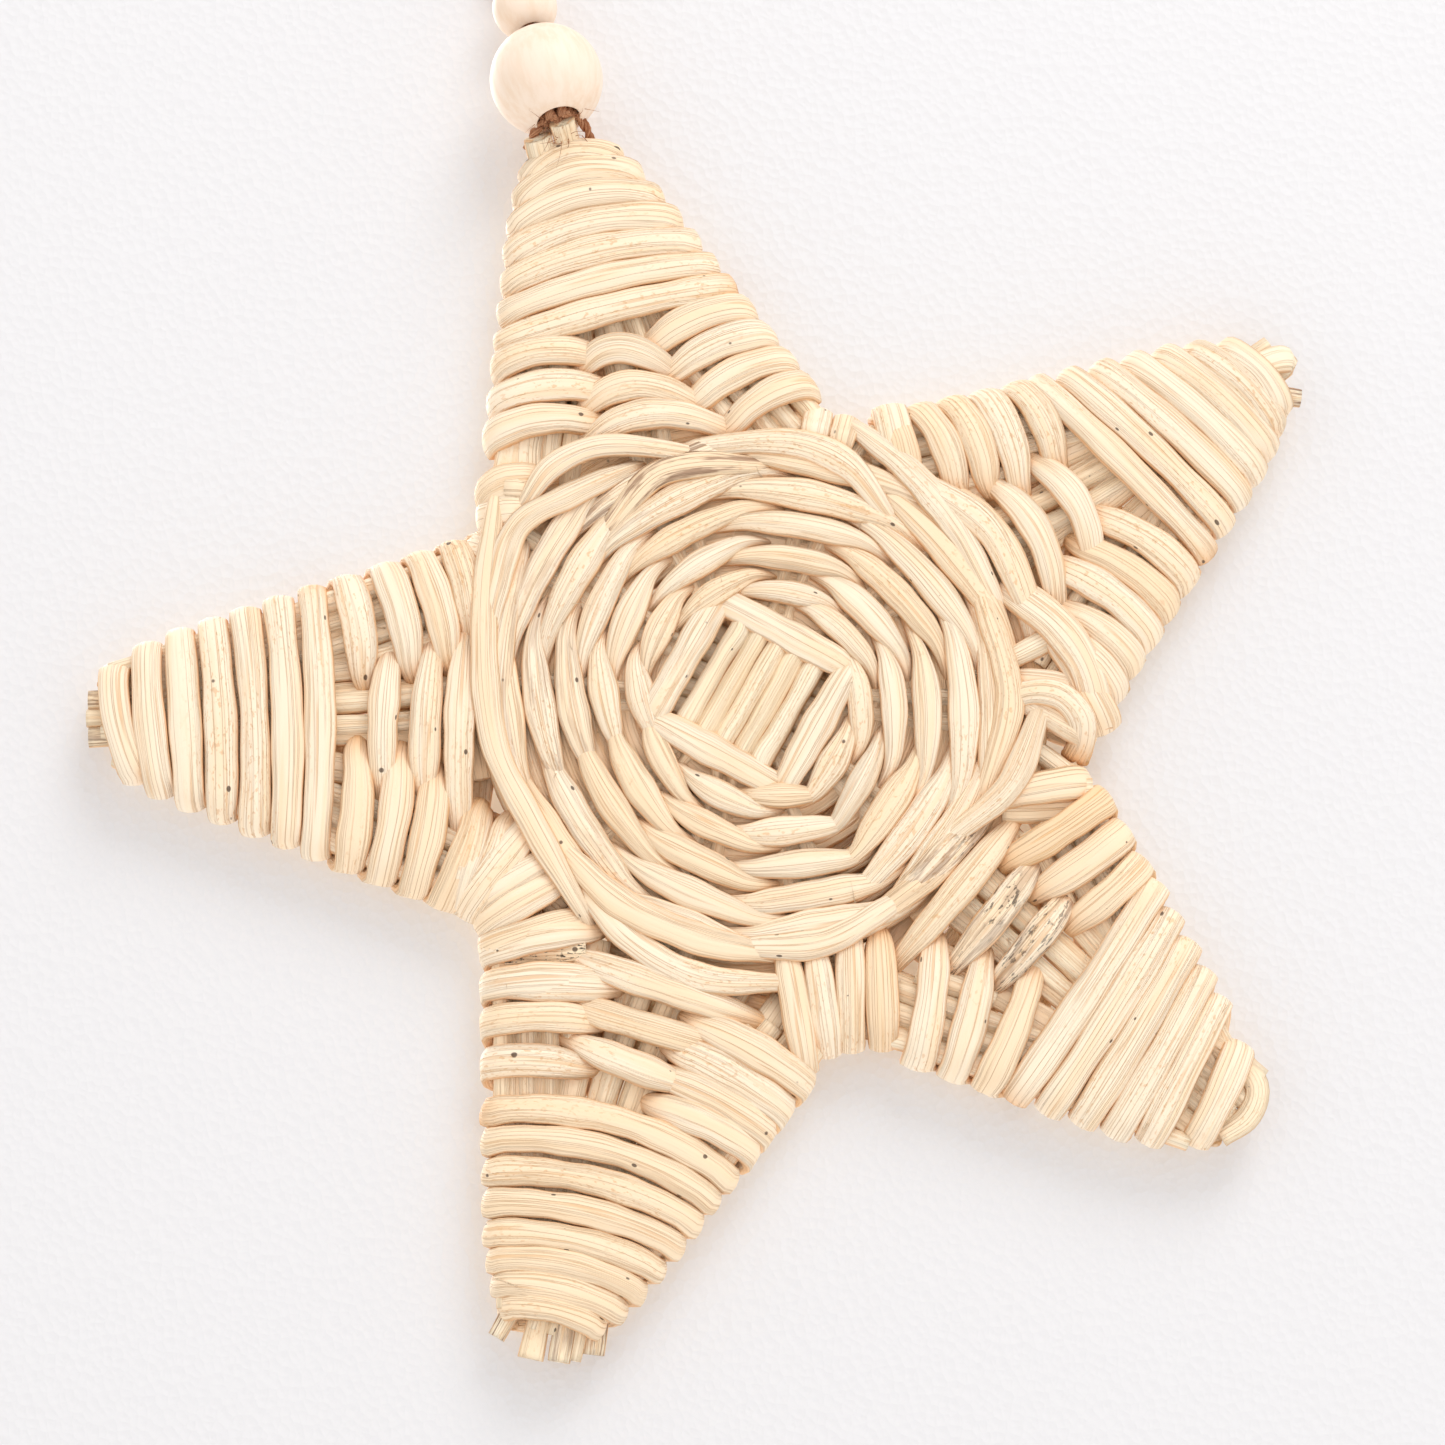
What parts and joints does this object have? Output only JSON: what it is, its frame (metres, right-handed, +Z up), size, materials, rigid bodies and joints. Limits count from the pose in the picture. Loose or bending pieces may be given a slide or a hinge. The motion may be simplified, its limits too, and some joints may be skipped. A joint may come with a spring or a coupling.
{
  "type": "woven rattan star hanging with wooden beads",
  "caption": "Flat woven rattan star on a round twined middle, hung by a jute cord threaded through wooden beads.",
  "frame": {"origin": "top of the hanging loop, where the nail or hook goes", "axes": "+Z up along the hanging cord, +X to the right, the star's face looks along -Y and its back lies against the wall"},
  "size_m": [0.1585, 0.0147, 0.2186],
  "materials": {
    "rattan_weaver": "matt natural rattan core, cream to beige with brown specks",
    "rattan_stake": "matt natural rattan core, pale yellow cream with fine ribs",
    "bead_wood": "unfinished pale sanded wood",
    "jute_cord": "hairy twisted red-brown jute"
  },
  "bodies": {
    "root": {"back_stake_1": "rattan_stake", "back_stake_2": "rattan_stake", "back_stake_3": "rattan_stake", "back_stake_4": "rattan_stake", "back_stake_5": "rattan_stake", "bead_cord": "jute_cord", "centre_lashing_back": "rattan_weaver", "centre_lashing_front": "rattan_weaver", "front_stake_1": "rattan_stake", "front_stake_2": "rattan_stake", "front_stake_3": "rattan_stake", "front_stake_4": "rattan_stake", "front_stake_5": "rattan_stake", "hanging_loop": "jute_cord", "knot": "jute_cord", "large_bead": "bead_wood", "left_arm_side_stake_first": "rattan_stake", "left_arm_side_stake_second": "rattan_stake", "left_arm_weaver": "rattan_weaver", "left_corner_band_first": "rattan_weaver", "left_corner_band_middle": "rattan_weaver", "lower_left_arm_side_stake_first": "rattan_stake", "lower_left_arm_side_stake_second": "rattan_stake", "lower_left_arm_weaver": "rattan_weaver", "lower_right_arm_side_stake_first": "rattan_stake", "lower_right_arm_side_stake_second": "rattan_stake", "lower_right_arm_weaver": "rattan_weaver", "right_arm_side_stake_first": "rattan_stake", "right_arm_side_stake_second": "rattan_stake", "right_arm_weaver": "rattan_weaver", "right_corner_band_middle": "rattan_weaver", "right_corner_band_second": "rattan_weaver", "ring_weaver_1": "rattan_weaver", "ring_weaver_2": "rattan_weaver", "small_bead": "bead_wood", "top_arm_side_stake_first": "rattan_stake", "top_arm_side_stake_second": "rattan_stake", "top_arm_weaver": "rattan_weaver", "upper_left_corner_band_first": "rattan_weaver", "upper_left_corner_band_middle": "rattan_weaver", "upper_left_corner_band_second": "rattan_weaver", "upper_right_corner_band_first": "rattan_weaver", "upper_right_corner_band_second": "rattan_weaver"}
  },
  "joints": []
}
